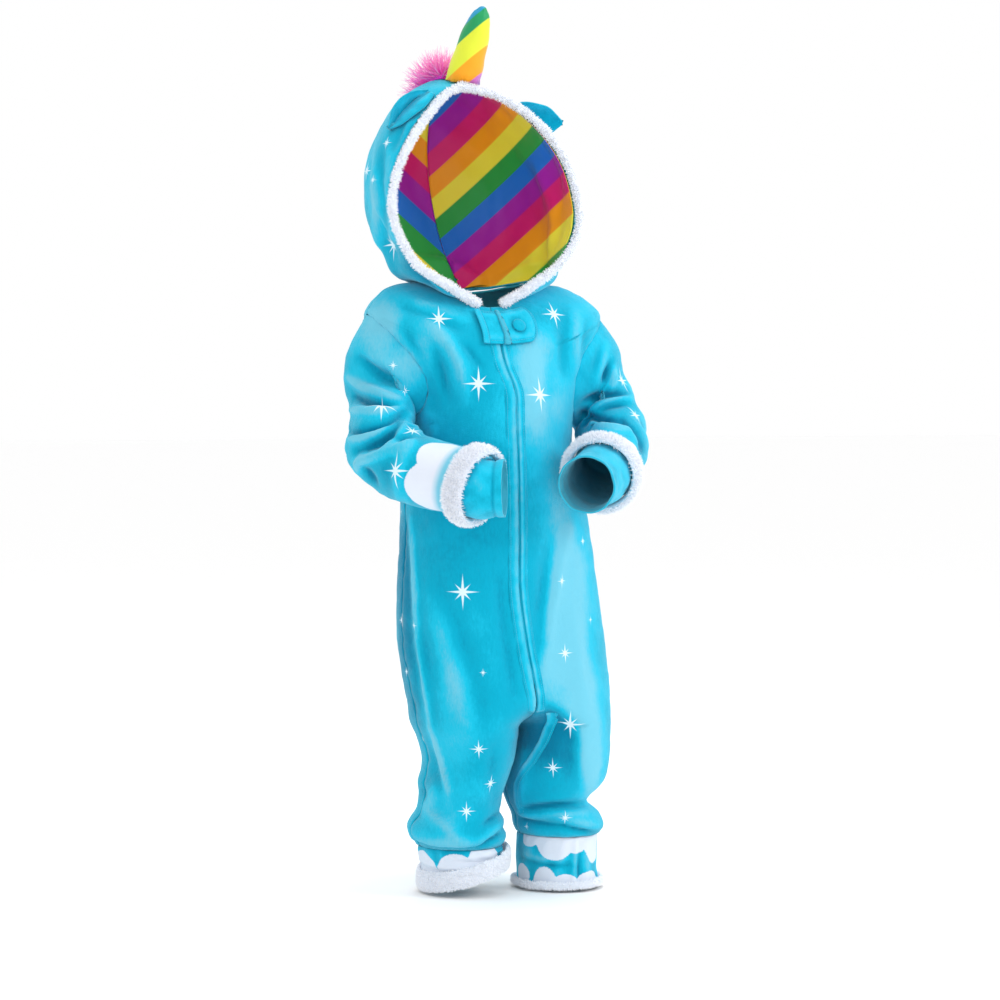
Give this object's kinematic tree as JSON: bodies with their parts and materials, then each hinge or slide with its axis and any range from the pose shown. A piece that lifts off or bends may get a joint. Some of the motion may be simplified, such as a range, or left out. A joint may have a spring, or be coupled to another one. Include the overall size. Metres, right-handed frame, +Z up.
{
  "type": "hooded unicorn costume",
  "caption": "One-piece unicorn costume for a small child, with a lined hood, horn, ears, mane, front placket and plush trim, hollow as worn.",
  "frame": {"origin": "middle of the neck opening at shoulder height, where the wearer's neck and shoulders carry the garment", "axes": "+Z up, -Y out of the garment's front, +X to the wearer's left"},
  "size_m": [0.3428, 0.2849, 0.916],
  "materials": {
    "velour": "short pile velour, printed with stars and clouds",
    "plush": "white curly plush",
    "satin": "satin printed with diagonal rainbow stripes",
    "pink_fur": "long pile"
  },
  "bodies": {
    "root": {"front_right": "velour", "front_left": "velour", "back_right": "velour", "back_left": "velour", "placket_right": "velour", "placket_left": "velour", "placket_leg": "velour", "neck_tab": "velour", "tab_band": "velour", "snap": "velour", "sleeve_right": "velour", "sleeve_left": "velour", "wrist_cuff_right": "velour", "wrist_cuff_left": "velour", "ankle_band_right": "velour", "ankle_band_left": "velour", "hood_right": "velour", "hood_left": "velour", "ear_right": "velour", "ear_left": "velour", "fur_cuff_right": "plush", "fur_cuff_left": "plush", "ankle_trim_right": "plush", "ankle_trim_left": "plush", "hood_trim": "plush", "lining_right": "satin", "lining_left": "satin", "horn": "satin", "mane": "pink_fur"}
  },
  "joints": []
}
